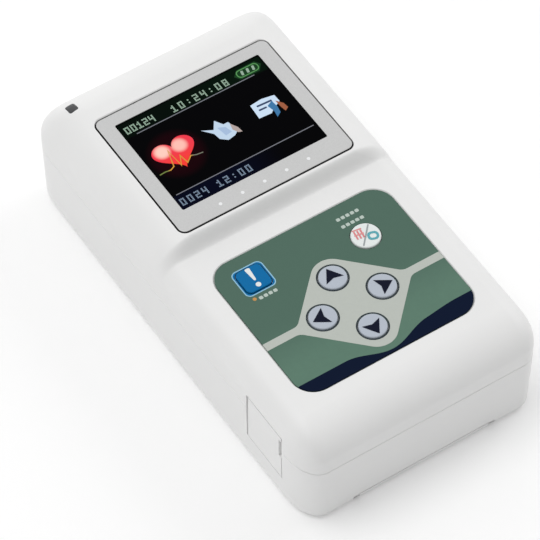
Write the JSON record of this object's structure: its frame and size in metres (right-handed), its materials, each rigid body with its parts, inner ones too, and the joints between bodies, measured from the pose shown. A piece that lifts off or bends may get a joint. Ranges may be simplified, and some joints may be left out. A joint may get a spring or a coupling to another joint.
{
  "type": "ecg home monitor",
  "caption": "Pocket heart monitor with a raised colour screen, a keypad with arrow keys, a lead socket, a hinged port cover and a sliding battery door.",
  "frame": {"origin": "middle of the back, on the surface that the case lies on", "axes": "+X across the screen to its right, +Y from the keypad to the screen end, +Z out of the face"},
  "size_m": [0.062, 0.1124, 0.0312],
  "materials": {
    "case_plastic": "fine satin",
    "bezel_silver": "silver printed",
    "gasket_rubber": "matt",
    "display_glass": "lit colour display",
    "frame_plastic": "matt",
    "ribbon_film": "amber film",
    "keypad_print": "printed film",
    "event_blue": "satin",
    "mode_white": "satin",
    "arrow_lavender": "satin",
    "switch_black": "matt",
    "light_window": "smoked",
    "shell_metal": "plated",
    "pin_gold": "gold plated",
    "board_green": "lacquered",
    "cell_sleeve": "printed sleeve",
    "screw_steel": "plated"
  },
  "bodies": {
    "case": {"front_housing": "case_plastic", "rear_housing": "case_plastic", "screen_bezel": "bezel_silver", "bezel_gasket": "gasket_rubber", "display_panel": "display_glass", "display_frame": "frame_plastic", "display_ribbon": "ribbon_film", "keypad_overlay": "keypad_print", "key_switches": "switch_black", "board_chips": "switch_black", "sounder": "switch_black", "lead_socket": "switch_black", "status_light": "light_window", "data_socket": "shell_metal", "shield_can": "shell_metal", "clock_cell": "shell_metal", "leaf_contacts": "shell_metal", "plate_contacts": "shell_metal", "lead_pins": "pin_gold", "main_board": "board_green", "battery_left": "cell_sleeve", "battery_right": "cell_sleeve", "case_screws": "screw_steel", "board_screws": "screw_steel"},
    "event_key": {"event_key": "event_blue"},
    "mode_key": {"mode_key": "mode_white"},
    "up_key": {"up_key": "arrow_lavender"},
    "right_key": {"right_key": "arrow_lavender"},
    "left_key": {"left_key": "arrow_lavender"},
    "down_key": {"down_key": "arrow_lavender"},
    "port_cover": {"port_cover": "case_plastic"},
    "battery_door": {"battery_door": "case_plastic"}
  },
  "joints": [
    {"name": "event_press", "type": "slide", "parent": "case", "child": "event_key", "axis": [0, 0, -1], "range_m": [0, 0.0003], "stiffness_N_per_m": 400},
    {"name": "mode_press", "type": "slide", "parent": "case", "child": "mode_key", "axis": [0, 0, -1], "range_m": [0, 0.0003], "stiffness_N_per_m": 400},
    {"name": "up_press", "type": "slide", "parent": "case", "child": "up_key", "axis": [0, 0, -1], "range_m": [0, 0.0003], "stiffness_N_per_m": 400},
    {"name": "right_press", "type": "slide", "parent": "case", "child": "right_key", "axis": [0, 0, -1], "range_m": [0, 0.0003], "stiffness_N_per_m": 400},
    {"name": "left_press", "type": "slide", "parent": "case", "child": "left_key", "axis": [0, 0, -1], "range_m": [0, 0.0003], "stiffness_N_per_m": 400},
    {"name": "down_press", "type": "slide", "parent": "case", "child": "down_key", "axis": [0, 0, -1], "range_m": [0, 0.0003], "stiffness_N_per_m": 400},
    {"name": "port_cover_swing", "type": "hinge", "parent": "case", "child": "port_cover", "pos_m": [-0.03, -0.03355, 0.0148], "axis": [0, 0, -1], "range_deg": [0, 90]},
    {"name": "battery_door_slide", "type": "slide", "parent": "case", "child": "battery_door", "axis": [0, -1, 0], "range_m": [0, 0.058]}
  ]
}
